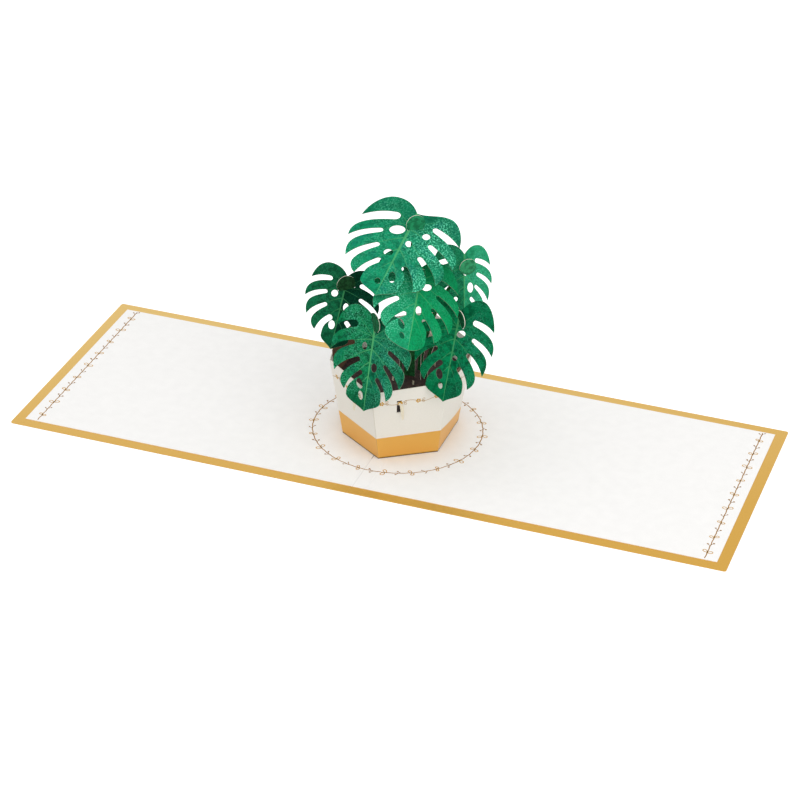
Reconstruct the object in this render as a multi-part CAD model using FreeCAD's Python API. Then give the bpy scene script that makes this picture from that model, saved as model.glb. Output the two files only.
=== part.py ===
import FreeCAD, Part
import math
import os

# Pop-up greeting card, lying open, with a potted Monstera plant cut and folded from card.
# Millimetres. The origin is the middle of the underside, +X runs along the open card,
# +Y runs to its back and +Z runs up. The fold of the card lies along Y.

# Card and its white inside sheet
coverWidth = 366.0
coverDepth = 134.0
coverThick = 0.45
coverCorner = 1.2
foilBorder = 5.65
linerThick = 0.3
creaseOffset = 4.0
creaseWidth = 0.7
creaseDepth = 0.12

# Pot, a six-sided sleeve that flares upwards, with its long corners on the fold
potHeight = 43.0
potBaseHalfWidth = 25.0
potBaseHalfDepth = 33.0
potBaseSideHalf = 16.0
potRimHalfWidth = 30.5
potRimHalfDepth = 45.0
potRimSideHalf = 20.8
potRimBulge = 2.4
wallThick = 0.35
glueFlapDepth = 7.0
glueFlapLength = 26.0

# Soil sheet with side flaps that stand against the pot's side walls
soilShareOfPot = 0.6744
soilHeight = soilShareOfPot * potHeight
soilThick = 0.35
soilClearance = 0.15
flapAboveRim = 2.0
flapHalfLength = 15.0

# Hook strips that hold the pot's long corners, each with a tongue at both ends that hangs
# outside through a slit. The tongue's sizes are measured from its top.
hookStripHalfDepth = 34.3
hookStripHeight = 7.2
hookTopHalfWidth = 10.9
hookTopAboveSoil = 5.45
hookNeckHeight = 1.3
tongueReach = 2.2
tongueDrop = 8.6
tongueTip = 0.8
slitInward = 0.4
slitBelowSoil = 0.6
slitHeight = 7.4
slitWidth = 2.1
slitLean = 0.5
slitReach = 3.0
stripThick = 0.35

# Cross ribs under the soil, with tabs that show through it
ribFrontY = -6.0
ribBackY = 15.0
ribThick = 0.35
ribEndClearance = 0.5
ribTabWidth = 0.9
ribTabRise = 2.0
ribTabXs = [-14.0, -2.6, 8.0, 12.0]
slotClearance = 0.15

# Stems, thin flat strips that rise from the soil and end in a round head. The head stands
# up through a slit in its leaf, in a plane of its own bearing, and carries the leaf.
stemThick = 0.35
stemNeckWidth = 1.7
stemFoot = 5.0
stemRise = 24.0
stemArch = 14.0
slitClearance = 0.15

# Leaves. The outline is one half of a Monstera leaf as shares of the length from stalk to tip:
# first the distance along the midrib from the stalk, then the distance sideways.
leafThick = 0.3
leafNotch = (-0.20, 0.0)
lobeTips = [(-0.03, 0.54), (0.28, 0.57), (0.56, 0.49), (0.77, 0.315), (1.0, 0.0)]
lobeShoulders = [(-0.19, 0.045), (-0.22, 0.09), (-0.13, 0.165)]
slotEnds = [(-0.105, 0.215), (0.118, 0.25), (0.314, 0.215), (0.51, 0.125)]
slotWidths = [0.075, 0.062, 0.062, 0.07]
endLobeAlong = 0.81

# Each leaf: where the stalk meets it (the height is above the pot's rim), which way the midrib
# points, its length from stalk to tip, how far its two halves fold down from level in degrees,
# its two crowns (reach behind the stalk, place aside, lift of the edge at the notch), the half
# widths of its end lobe and that lobe's shape towards the tip. Pairs give the left half first.
leaves = {
    "left": {
        "at": (-33.0, 6.2, 25.55), "along": (0.07, -0.77, -0.63),
        "length": 32.6, "fold": (-26.0, 15.0),
        "crowns": ((0.34, 0.27, 0.09), (0.355, 0.27, 0.09)),
        "endLobe": (0.20, 0.23), "tipShape": (0.925, 0.34),
    },
    "top": {
        "at": (2.0, 1.4, 68.25), "along": (-0.03, -0.95, -0.31),
        "length": 47.5, "fold": (-3.0, 21.0),
        "crowns": ((0.367, 0.27, 0.09), (0.325, 0.34, 0.02)),
        "endLobe": (0.225, 0.18), "tipShape": (0.925, 0.34),
    },
    "upper_right": {
        "at": (27.4, 9.1, 48.25), "along": (0.17, -0.44, -0.88),
        "length": 29.4, "fold": (19.0, 34.0),
        "crowns": ((0.36, 0.27, 0.09), (0.355, 0.27, 0.08)),
        "endLobe": (0.25, 0.23), "tipShape": (0.925, 0.34),
    },
    "front_left": {
        "at": (-1.6, -38.5, 27.65), "along": (-0.04, -0.23, -0.97),
        "length": 37.6, "fold": (-2.0, -8.0),
        "crowns": ((0.37, 0.27, 0.09), (0.36, 0.27, 0.09)),
        "endLobe": (0.28, 0.235), "tipShape": (0.925, 0.34),
    },
    "front_right": {
        "at": (32.8, -15.8, 28.7), "along": (-0.03, -0.43, -0.90),
        "length": 36.8, "fold": (2.0, -9.0),
        "crowns": ((0.37, 0.27, 0.09), (0.40, 0.28, 0.09)),
        "endLobe": (0.285, 0.245), "tipShape": (0.925, 0.34),
    },
    "centre": {
        "at": (13.6, -17.6, 50.75), "along": (0.17, -0.87, -0.46),
        "length": 39.7, "fold": (-20.0, 31.0),
        "crowns": ((0.36, 0.27, 0.09), (0.36, 0.27, 0.09)),
        "endLobe": (0.315, 0.20), "tipShape": (0.975, 0.60),
    },
}

# Slots that differ from the common outline: the half (0 left, 1 right), the slot counted from
# the crown, its inner end and its width.
ownSlots = {
    "left": {(0, 3): ((0.48, 0.10), 0.09)},
    "top": {(0, 0): ((-0.12, 0.15), 0.11)},
    "upper_right": {},
    "front_left": {(0, 0): ((-0.13, 0.24), 0.095), (0, 2): ((0.315, 0.15), 0.065), (0, 3): ((0.475, 0.10), 0.062)},
    "front_right": {(0, 3): ((0.475, 0.12), 0.08)},
    "centre": {(0, 3): ((0.49, 0.10), 0.062)},
}

# Lobes that bulge more than the common outline, by half and lobe: the shoulder before the tip
ownShoulders = {"front_left": {(1, 0): (-0.31, 0.12), (1, 1): (-0.26, 0.14)}}

# Each stem: its foot in the soil, its width there, and its head: bearing of the head's plane in
# degrees from +X, radius, place on the leaf as shares along and aside, and height off the leaf.
stems = {
    "left": {
        "foot": (0.0, 8.5), "width": 2.6,
        "bearing": 38.0, "radius": 4.8, "on": (-0.045, 0.0), "lift": 2.0,
    },
    "top": {
        "foot": (3.4, 1.7), "width": 5.5,
        "bearing": 38.0, "radius": 4.8, "on": (-0.02, 0.045), "lift": 1.6,
    },
    "upper_right": {
        "foot": (6.5, 8.5), "width": 2.6,
        "bearing": 38.0, "radius": 4.2, "on": (0.01, 0.05), "lift": 1.2,
    },
    "front_left": {
        "foot": (-1.2, 1.5), "width": 2.6,
        "bearing": -42.0, "radius": 4.8, "on": (-0.20, 0.0), "lift": 0.8,
    },
    "front_right": {
        "foot": (11.5, 3.2), "width": 2.6,
        "bearing": -42.0, "radius": 4.6, "on": (-0.10, 0.02), "lift": 0.2,
    },
    "centre": {
        "foot": (9.5, 1.0), "width": 2.6,
        "bearing": 38.0, "radius": 2.4, "on": (-0.10, 0.0), "lift": 0.4,
    },
}

# Holes in each leaf, each an ellipse in the flat leaf: place along and aside (negative on the
# left half), long and short diameter as shares of the length, and its turn from the midrib.
leafHoles = {
    "left": [(0.12, -0.135, 0.116, 0.10, -28), (0.622, -0.072, 0.143, 0.10, 0), (0.298, 0.083, 0.145, 0.085, 8)],
    "top": [(0.076, -0.114, 0.163, 0.125, -75), (0.405, -0.085, 0.10, 0.09, 75), (0.81, -0.048, 0.083, 0.06, 25),
            (0.703, 0.067, 0.14, 0.072, 15), (0.215, 0.063, 0.083, 0.068, 0), (0.031, 0.188, 0.09, 0.072, -30)],
    "upper_right": [(0.349, 0.124, 0.165, 0.125, 0)],
    "front_left": [(0.141, -0.108, 0.105, 0.071, 0), (0.391, 0.071, 0.119, 0.093, 0),
                   (0.648, -0.108, 0.138, 0.086, 25), (0.799, -0.072, 0.119, 0.065, 15)],
    "front_right": [(0.084, 0.075, 0.13, 0.09, -70), (0.41, 0.052, 0.08, 0.07, -70),
                    (0.653, -0.12, 0.14, 0.09, 25), (0.799, -0.076, 0.085, 0.06, 20)],
    "centre": [(0.416, 0.052, 0.127, 0.079, 0), (0.672, -0.133, 0.14, 0.075, 25), (0.827, -0.102, 0.092, 0.06, 25),
               (0.053, 0.108, 0.147, 0.085, -50)],
}

# Heights that follow from the sizes above
linerTop = coverThick + linerThick
potBase = linerTop
potRim = potBase + potHeight
soilBase = linerTop + soilHeight
soilTop = soilBase + soilThick


def vec(x, y, z=0.0):
    return FreeCAD.Vector(x, y, z)


def unit(v):
    return vec(v.x, v.y, v.z).normalize()


def boxBetween(low, high):
    size = high.sub(low)
    return Part.makeBox(size.x, size.y, size.z, low)


def wedgeAlongY(x, top, width, depth, length):
    # a shallow V groove pressed into a top face along Y
    points = [vec(x - width / 2, -length, top), vec(x + width / 2, -length, top), vec(x, -length, top - depth)]
    return Part.Face(Part.makePolygon(points + [points[0]])).extrude(vec(0, 2 * length, 0))


def cutCreases(sheet, top):
    for side in (-1, 1):
        sheet = sheet.cut(wedgeAlongY(side * creaseOffset, top, creaseWidth, creaseDepth, coverDepth))
    return sheet


def cover():
    sheet = boxBetween(vec(-coverWidth / 2, -coverDepth / 2, 0), vec(coverWidth / 2, coverDepth / 2, coverThick))
    upright = [e for e in sheet.Edges if abs(e.Vertexes[0].Z - e.Vertexes[1].Z) > coverThick / 2]
    return cutCreases(sheet.makeFillet(coverCorner, upright), coverThick)


def liner():
    halfWidth = coverWidth / 2 - foilBorder
    halfDepth = coverDepth / 2 - foilBorder
    sheet = boxBetween(vec(-halfWidth, -halfDepth, coverThick), vec(halfWidth, halfDepth, linerTop))
    return cutCreases(sheet, linerTop)


def potSection(z, inset):
    # the closed six-sided outline of the sleeve at height z, drawn in by inset
    share = (z - potBase) / potHeight
    width = potBaseHalfWidth + share * (potRimHalfWidth - potBaseHalfWidth)
    depth = potBaseHalfDepth + share * (potRimHalfDepth - potBaseHalfDepth)
    sideHalf = potBaseSideHalf + share * (potRimSideHalf - potBaseSideHalf)
    bulge = potRimBulge * share
    slope = (depth - sideHalf) / width
    front = depth - inset * math.hypot(1.0, slope)
    halfWidth = width - inset
    corner = front - halfWidth * slope
    points = [vec(0, -front, z), vec(halfWidth, -corner, z), vec(halfWidth, corner, z),
              vec(0, front, z), vec(-halfWidth, corner, z), vec(-halfWidth, -corner, z)]
    edges = []
    for i in range(6):
        start, end = points[i], points[(i + 1) % 6]
        if i in (1, 4) and bulge > 0.01:
            middle = vec(math.copysign(halfWidth + bulge, start.x), 0, z)
            edges.append(Part.Arc(start, middle, end).toShape())
        else:
            edges.append(Part.makeLine(start, end))
    return Part.Wire(edges)


def potSolid(low, high, inset):
    return Part.makeLoft([potSection(low, inset), potSection(high, inset)], True, True)


def potCornerHalfDepth(z):
    share = (z - potBase) / potHeight
    return potBaseHalfDepth + share * (potRimHalfDepth - potBaseHalfDepth)


def hookSlits():
    # slits that lean with the wall, each cut through one wall only
    low = soilTop - slitBelowSoil
    middle = hookTopHalfWidth - slitInward
    slits = []
    for side in (-1, 1):
        for end in (-1, 1):
            y = end * (hookStripHalfDepth - slitReach)
            points = []
            for z, lean, way in ((low, -1, -1), (low, -1, 1), (low + slitHeight, 1, 1), (low + slitHeight, 1, -1)):
                points.append(vec(side * (middle + lean * slitLean / 2 + way * slitWidth / 2), y, z))
            face = Part.Face(Part.makePolygon(points + [points[0]]))
            slits.append(face.extrude(vec(0, end * 2 * slitReach, 0)))
    return slits


def potWall():
    wall = potSolid(potBase, potRim, 0.0)
    wall = wall.cut(potSolid(potBase, potRim, wallThick))
    for slit in hookSlits():
        wall = wall.cut(slit)
    for side in (-1, 1):
        outer = side * (potBaseHalfWidth - wallThick / 2)
        inner = side * (potBaseHalfWidth - glueFlapDepth)
        low = vec(min(outer, inner), -glueFlapLength / 2, potBase)
        high = vec(max(outer, inner), glueFlapLength / 2, potBase + wallThick)
        wall = wall.fuse(boxBetween(low, high))
    return wall.removeSplitter()


def soilTray():
    inset = wallThick + soilClearance
    top = potRim + flapAboveRim
    sheet = potSolid(soilBase, soilTop, inset)
    flaps = potSolid(soilBase, top, inset).cut(potSolid(soilBase, top, inset + soilThick))
    flaps = flaps.common(boxBetween(vec(-coverDepth, -flapHalfLength, 0), vec(coverDepth, flapHalfLength, top)))
    for cutter in [ribTabSlot(y, x) for y, x in ribTabs()] + [stemSlot(name) for name in leaves]:
        sheet = sheet.cut(cutter)
    return sheet.fuse(flaps).removeSplitter()


def hookStrip(end):
    # a strip across one long corner of the pot, with a tongue at each end that hangs outside
    y = end * hookStripHalfDepth - stripThick / 2
    top = soilTop + hookTopAboveSoil
    inside = hookStripInside()
    strip = boxBetween(vec(-inside, y, soilTop), vec(inside, y + stripThick, soilTop + hookStripHeight))
    neck = boxBetween(vec(-hookTopHalfWidth, y, top - hookNeckHeight), vec(hookTopHalfWidth, y + stripThick, top))
    strip = strip.fuse(neck)
    for side in (-1, 1):
        def at(out, down):
            return vec(side * (hookTopHalfWidth + out), y, top - down)
        tip, end = at(tongueReach, tongueDrop), at(tongueReach - tongueTip, tongueDrop + tongueTip)
        start = at(0, hookNeckHeight)
        wire = Part.Wire([bezier([at(0, 0), at(1.1 * tongueReach, 0.1 * tongueDrop),
                                  at(tongueReach, 0.6 * tongueDrop), tip]), Part.makeLine(tip, end),
                          bezier([end, at(0.4 * tongueReach, 0.8 * tongueDrop),
                                  at(0.3 * tongueReach, 0.5 * tongueDrop), start]), Part.makeLine(start, at(0, 0))])
        strip = strip.fuse(Part.Face(wire).extrude(vec(0, stripThick, 0)))
    return strip.removeSplitter()


def hookStripInside():
    # half the width that fits inside the pot at the strip's foot, less the clearance
    room = potCornerHalfDepth(soilTop) - wallThick - hookStripHalfDepth
    slope = (potRimHalfDepth - potRimSideHalf) / potRimHalfWidth
    return room / slope - 2 * soilClearance - wallThick


def ribTabs():
    return [(ribFrontY, ribTabXs[1]), (ribFrontY, ribTabXs[2]), (ribBackY, ribTabXs[0]), (ribBackY, ribTabXs[3])]


def ribTabSlot(y, x):
    reach = vec(ribTabWidth / 2 + slotClearance, ribThick / 2 + slotClearance, soilThick)
    centre = vec(x, y, soilBase)
    return boxBetween(centre.sub(reach), centre.add(reach).add(vec(0, 0, soilThick)))


def crossRib(y):
    inset = wallThick + ribEndClearance
    slab = boxBetween(vec(-coverDepth, y - ribThick / 2, linerTop), vec(coverDepth, y + ribThick / 2, soilBase))
    rib = potSolid(potBase, soilBase, inset).common(slab)
    flapRoom = potBaseHalfWidth - glueFlapDepth - ribEndClearance
    flapTop = linerTop + wallThick + slotClearance
    for side in (-1, 1):
        low = vec(min(side * flapRoom, side * coverDepth), y - ribThick, linerTop)
        high = vec(max(side * flapRoom, side * coverDepth), y + ribThick, flapTop)
        rib = rib.cut(boxBetween(low, high))
    for tabY, x in ribTabs():
        if tabY == y:
            low = vec(x - ribTabWidth / 2, y - ribThick / 2, soilBase - ribThick)
            high = vec(x + ribTabWidth / 2, y + ribThick / 2, soilTop + ribTabRise)
            rib = rib.fuse(boxBetween(low, high))
    return rib.removeSplitter()


def stalkPoint(name):
    x, y, z = leaves[name]["at"]
    return vec(x, y, potRim + z)


def leafAxes(name):
    # along the midrib, level sideways towards +X, and the upper face's normal
    along = unit(vec(*leaves[name]["along"]))
    aside = unit(vec(-along.y, along.x, 0))
    if aside.x < 0:
        aside = aside.negative()
    up = unit(aside.cross(along))
    if up.z < 0:
        up = up.negative()
    return along, aside, up


def halfDirection(name, side):
    # the sideways direction in one half of a leaf, after its fold
    along, aside, up = leafAxes(name)
    fold = math.radians(leaves[name]["fold"][0 if side < 0 else 1])
    flat = vec(aside.x, aside.y, aside.z).multiply(side * math.cos(fold))
    return flat.sub(vec(up.x, up.y, up.z).multiply(math.sin(fold)))


def bezier(points):
    curve = Part.BezierCurve()
    curve.setPoles(points)
    return curve.toShape()


def plus(point, direction, distance):
    return point.add(vec(direction.x, direction.y, direction.z).multiply(distance))


def halfOutline(name, half):
    # one half of the leaf drawn flat: x along the midrib, y sideways
    leafValues = leaves[name]
    length = leafValues["length"]
    def at(pair):
        return vec(pair[0] * length, pair[1] * length)
    reach, aside, lift = leafValues["crowns"][half]
    notch, crown = at(leafNotch), at((-reach, aside))
    tips = [at(tip) for tip in lobeTips]
    edges = [bezier([notch, notch.add(at((-lift, 0.15 - lift))), crown.add(at((0, -0.13))), crown]),
             bezier([crown, crown.add(at((0, 0.42 - aside))), tips[0].add(at((-0.17, -0.02))), tips[0]])]
    for k in range(4):
        inner, width = ownSlots[name].get((half, k), (slotEnds[k], slotWidths[k]))
        end, tip, nextTip = at(inner), tips[k], tips[k + 1]
        width = width * length
        outward = unit(tip.sub(end))
        backward = unit(vec(-abs(outward.y), math.copysign(outward.x, outward.x)))
        centre = plus(end, outward, width / 2)
        upper = plus(centre, backward, width / 2)
        lower = plus(centre, backward, -width / 2)
        run = tip.sub(upper).Length
        edges.append(bezier([tip, plus(plus(tip, outward, -0.35 * run), backward, 0.16 * run),
                             plus(plus(upper, outward, 0.35 * run), backward, 0.05 * run), upper]))
        edges.append(Part.Arc(upper, end, lower).toShape())
        if k < 3:
            run = nextTip.sub(lower).Length
            shoulder = ownShoulders.get(name, {}).get((half, k), lobeShoulders[k])
            edges.append(bezier([lower, plus(lower, outward, run / 2), nextTip.add(at(shoulder)), nextTip]))
        else:
            endHalfWidth, tipShape = leafValues["endLobe"][half], leafValues["tipShape"]
            widest = at((endLobeAlong, endHalfWidth))
            edges.append(bezier([lower, lower.add(at((0.10, 0.10))), widest.add(at((-0.13, 0))), widest]))
            edges.append(bezier([widest, widest.add(at((0.09, 0.007))),
                                 at((tipShape[0], tipShape[1] * endHalfWidth)), nextTip]))
    edges.append(Part.makeLine(tips[4], notch))
    return Part.Wire(edges)


def leafHole(length, hole, side):
    along, aside, long, wide, turn = hole
    ellipse = Part.Ellipse(vec(0, 0, 0), long * length / 2, wide * length / 2).toShape()
    ellipse.rotate(vec(0, 0, 0), vec(0, 0, 1), side * turn)
    ellipse.translate(vec(along * length, side * aside * length))
    return Part.Face(Part.Wire([ellipse]))


def leafHalf(name, side):
    length = leaves[name]["length"]
    face = Part.Face(halfOutline(name, 0 if side < 0 else 1))
    for hole in leafHoles[name]:
        if side * hole[1] > 0:
            face = face.cut(leafHole(length, hole, side))
    flat = face.extrude(vec(0, 0, leafThick))
    flat.translate(vec(0, 0, -leafThick / 2))
    along = leafAxes(name)[0]
    aside = halfDirection(name, side)
    up = along.cross(aside)
    at = stalkPoint(name)
    matrix = FreeCAD.Matrix(along.x, aside.x, up.x, at[0], along.y, aside.y, up.y, at[1],
                            along.z, aside.z, up.z, at[2])
    flat.Placement = FreeCAD.Placement(matrix).multiply(flat.Placement)
    return flat


def leaf(name):
    halves = leafHalf(name, -1).fuse(leafHalf(name, 1))
    for slot in (stemStrip(name, 2 * slitClearance), stemHead(name, slitClearance)):
        halves = halves.cut(slot)
    return halves.removeSplitter()


def headCentre(name):
    # the middle of the round head, just off the leaf's upper face, and the leaf's normal there
    along, aside, up = leafAxes(name)
    normals = [along.cross(halfDirection(name, side)).multiply(side) for side in (-1, 1)]
    mean = unit(normals[0].add(normals[1]))
    if mean.dot(up) < 0:
        mean = mean.negative()
    length = leaves[name]["length"]
    onAlong, onAside = stems[name]["on"]
    centre = plus(plus(stalkPoint(name), along, onAlong * length), aside, onAside * length)
    return plus(centre, mean, stems[name]["lift"]), mean


def stemPath(name):
    # four poles in one upright plane: foot, straight up, in below the leaf, the head's middle
    top, up = headCentre(name)
    base = vec(stems[name]["foot"][0], stems[name]["foot"][1], soilBase)
    level = unit(vec(top.x - base.x, top.y - base.y))
    inPlane = unit(vec(level.x * up.dot(level), level.y * up.dot(level), up.z))
    return [base, base.add(vec(0, 0, stemRise)), plus(top, inPlane, -stemArch), top], level, inPlane


def stemStrip(name, room):
    # the flat strip of a stem; room widens and thickens it for cutting its way through the leaf
    poles, level, inPlane = stemPath(name)
    across = unit(vec(-level.y, level.x))
    side = vec(level.x, level.y).multiply((stems[name]["width"] + room) / 2)
    neckSide = unit(across.cross(inPlane)).multiply((stemNeckWidth + room) / 2)
    if neckSide.dot(level) < 0:
        neckSide = neckSide.negative()
    outer = [poles[0].add(side), poles[1].add(side), poles[2].add(neckSide), poles[3].add(neckSide)]
    inner = [poles[0].sub(side), poles[1].sub(side), poles[2].sub(neckSide), poles[3].sub(neckSide)]
    drop = vec(0, 0, -stemFoot)
    wire = Part.Wire([bezier(outer), Part.makeLine(outer[3], inner[3]), bezier(inner[::-1]),
                      Part.makeLine(inner[0], inner[0].add(drop)),
                      Part.makeLine(inner[0].add(drop), outer[0].add(drop)),
                      Part.makeLine(outer[0].add(drop), outer[0])])
    face = Part.Face(wire)
    thick = stemThick + room
    face.translate(plus(vec(0, 0, 0), across, -thick / 2))
    return face.extrude(vec(across.x, across.y).multiply(thick))


def stemHead(name, room):
    # the round head, an upright disc; room enlarges it all round for cutting its slit
    bearing = math.radians(stems[name]["bearing"])
    across = vec(-math.sin(bearing), math.cos(bearing))
    centre = plus(headCentre(name)[0], across, -stemThick / 2 - room)
    return Part.makeCylinder(stems[name]["radius"] + room, stemThick + 2 * room, centre, across)


def stemSlot(name):
    # the slit in the soil that a stem stands in
    poles, level, inPlane = stemPath(name)
    half = stems[name]["width"] / 2 + slotClearance
    thick = stemThick / 2 + slotClearance
    slot = boxBetween(vec(-half, -thick, -soilThick), vec(half, thick, 2 * soilThick))
    slot.rotate(vec(0, 0, 0), vec(0, 0, 1), math.degrees(math.atan2(level.y, level.x)))
    slot.translate(poles[0])
    return slot


def stem(name):
    return stemStrip(name, 0).fuse(stemHead(name, 0)).removeSplitter()


def nodes():
    pieces = {"cover": cover(), "liner": liner(), "pot_wall": potWall(), "soil_tray": soilTray(),
              "hook_strip_front": hookStrip(-1), "hook_strip_back": hookStrip(1),
              "cross_rib_front": crossRib(ribFrontY), "cross_rib_back": crossRib(ribBackY)}
    for name in leaves:
        pieces["stem_" + name] = stem(name)
        pieces["leaf_" + name] = leaf(name)
    return pieces


def main():
    os.makedirs("parts", exist_ok=True)
    for name, shape in nodes().items():
        print(name, "solids", len(shape.Solids), "valid", shape.isValid(), "volume", round(shape.Volume, 2))
        shape.exportStep("parts/" + name + ".step")


main()
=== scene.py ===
import bpy
import numpy as np
from math import copysign, cos, hypot, pi, radians, sin, sqrt
from mathutils import Matrix, Vector
from mathutils.geometry import delaunay_2d_cdt


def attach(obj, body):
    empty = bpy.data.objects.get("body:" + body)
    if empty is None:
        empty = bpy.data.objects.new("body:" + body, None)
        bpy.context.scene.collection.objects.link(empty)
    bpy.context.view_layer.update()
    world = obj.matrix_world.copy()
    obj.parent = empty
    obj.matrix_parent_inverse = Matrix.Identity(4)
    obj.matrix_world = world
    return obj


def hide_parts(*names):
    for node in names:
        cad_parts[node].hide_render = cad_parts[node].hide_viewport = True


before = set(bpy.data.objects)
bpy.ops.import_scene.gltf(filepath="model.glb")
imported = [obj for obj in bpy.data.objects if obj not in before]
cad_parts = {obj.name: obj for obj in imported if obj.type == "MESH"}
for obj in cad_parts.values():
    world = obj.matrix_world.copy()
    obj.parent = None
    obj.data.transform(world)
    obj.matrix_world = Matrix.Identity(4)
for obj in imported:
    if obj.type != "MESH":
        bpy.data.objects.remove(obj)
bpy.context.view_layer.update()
print("frame loaded")

millimetre = 0.001


# Helpers for meshes


def unit(v):
    v = np.asarray(v, float)
    return v / np.linalg.norm(v)


def columns(*values):
    return np.stack(values, -1)


def circleAngles(count):
    return np.linspace(0, 2 * pi, count, endpoint=False)


def turned(x, y, angle):
    return columns(x * cos(angle) - y * sin(angle), x * sin(angle) + y * cos(angle))


def quadRows(count, closed=True):
    # quads between two rows of as many points, numbered one row after the other
    first = np.arange(count if closed else count - 1)
    second = (first + 1) % count
    return columns(first, second, second + count, first + count)


def addMesh(name, points, polygons, materials, indices=None, attributes=None, sharpAngle=8.0):
    # points in millimetres, polygons as lists of equal-length index rows
    mesh = bpy.data.meshes.new(name)
    rows = [np.asarray(p, int) for p in polygons if len(p)]
    corners = np.concatenate([r.ravel() for r in rows])
    totals = np.concatenate([np.full(len(r), r.shape[1]) for r in rows])
    starts = np.concatenate([[0], np.cumsum(totals)[:-1]])
    mesh.vertices.add(len(points))
    mesh.vertices.foreach_set("co", (np.asarray(points) * millimetre).ravel())
    mesh.loops.add(len(corners))
    mesh.loops.foreach_set("vertex_index", corners)
    mesh.polygons.add(len(totals))
    mesh.polygons.foreach_set("loop_start", starts)
    mesh.polygons.foreach_set("use_smooth", np.ones(len(totals), bool))
    if indices is not None:
        mesh.polygons.foreach_set("material_index", np.asarray(indices, int))
    for key, values in (attributes or {}).items():
        layer = mesh.attributes.new(key, "FLOAT_VECTOR", "POINT")
        layer.data.foreach_set("vector", np.asarray(values, float).ravel())
    mesh.update(calc_edges=True)
    mesh.validate()
    mesh.set_sharp_from_angle(angle=radians(sharpAngle))
    for material in materials:
        mesh.materials.append(material)
    piece = bpy.data.objects.new(name, mesh)
    bpy.context.scene.collection.objects.link(piece)
    return piece


def bezier(poles, count):
    # cubic curve of four poles, as a row of points: the poles' weights at t are (1 - t) cubed,
    # 3 t (1 - t) squared, 3 t squared (1 - t) and t cubed
    t = np.linspace(0, 1, count)[:, None]
    p = [np.asarray(q, float) for q in poles]
    return (1 - t) ** 3 * p[0] + 3 * t * (1 - t) ** 2 * p[1] + 3 * t * t * (1 - t) * p[2] + t ** 3 * p[3]


def inMetres(*lengths):
    return [length * millimetre for length in lengths]


# Helpers for materials


def scaled(color, factor):
    return tuple(min(1.0, factor * c) for c in color)


def newMaterial(name):
    material = bpy.data.materials.new(name)
    material.use_nodes = True
    tree = material.node_tree
    return material, tree, tree.nodes["Principled BSDF"]


def feed(tree, socket, value):
    # gives an input its number, its colour or a link from another node
    if isinstance(value, (int, float)):
        socket.default_value = value
    elif isinstance(value, tuple):
        socket.default_value = (*value, 1.0) if socket.type == "RGBA" else value
    else:
        tree.links.new(value, socket)


def addNode(tree, kind, inputs, **settings):
    # a shader node with its settings and its inputs by name or place
    node = tree.nodes.new("ShaderNode" + kind)
    for key, value in settings.items():
        setattr(node, key, value)
    for key, value in inputs.items():
        feed(tree, node.inputs[key], value)
    return node


def calc(tree, operation, *values):
    return addNode(tree, "Math", dict(enumerate(values)), operation=operation).outputs[0]


def times(tree, first, second):
    return calc(tree, "MULTIPLY", first, second)


def minus(tree, first, second):
    return calc(tree, "SUBTRACT", first, second)


def blend(tree, share, first, second):
    # share 0 gives the first colour, 1 the second
    return addNode(tree, "Mix", {0: share, 6: first, 7: second}, data_type="RGBA").outputs[2]


def ramp(tree, value, low, high):
    # 0 below low, 1 above high, smooth between
    return addNode(tree, "MapRange", {0: value, 1: low, 2: high}, interpolation_type="SMOOTHSTEP").outputs[0]


def fallingRamp(tree, value, low, high):
    return minus(tree, 1.0, ramp(tree, value, low, high))


def objectPoint(tree):
    return tree.nodes.new("ShaderNodeTexCoord").outputs["Object"]


def noise(tree, vector, scale, detail=3.0, roughness=0.5):
    inputs = {"Vector": vector, "Scale": scale, "Detail": detail, "Roughness": roughness}
    return addNode(tree, "TexNoise", inputs).outputs[0]


def split(tree, vector):
    return addNode(tree, "SeparateXYZ", {0: vector}).outputs


def dress(tree, shader, color, height, values, **own):
    # the colour, and roughness, specular and metallic from the values or given on their own; the
    # surface's relief follows the height, with its depth and strength as values
    look = {"specular": 0.5, "metallic": 0.0, **values, **own, "color": color}
    for key, place in (("color", "Base Color"), ("roughness", "Roughness"), ("metallic", "Metallic"),
                       ("specular", "Specular IOR Level")):
        feed(tree, shader.inputs[place], look[key])
    if height:
        node = addNode(tree, "Bump", dict(zip(("Height", "Distance", "Strength"), (height, *look["relief"]))))
        tree.links.new(node.outputs[0], shader.inputs["Normal"])


# Paper: card stock in several tints

paperValues = {
    "fibreScale": 2600.0, "cloudScale": 180.0, "fibreShare": 0.6,
    "specular": 0.3, "relief": (0.00004, 0.35),
    "cream": (0.80, 0.72, 0.56),
    "cutEdge": (0.82, 0.78, 0.66),
    "leafEdge": (0.16, 0.30, 0.18),
}


def paperMaterial(name, color, roughness, grain):
    # fine fibres and wide clouds in the colour, the fibres in the surface too
    material, tree, shader = newMaterial(name)
    point, share = objectPoint(tree), paperValues["fibreShare"]
    fine = noise(tree, point, paperValues["fibreScale"], 4.0, 0.6)
    wide = noise(tree, point, paperValues["cloudScale"], 2.0, 0.5)
    shade = calc(tree, "ADD", times(tree, fine, share), times(tree, wide, 1 - share))
    dark, pale = scaled(color, 1 - 3 * grain), scaled(color, 1 + grain)
    mixed = blend(tree, ramp(tree, shade, 0.3, 0.7), dark, pale)
    dress(tree, shader, mixed, fine, paperValues, roughness=roughness)
    return material


# Card: gold foil cover and white inside sheet

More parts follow.
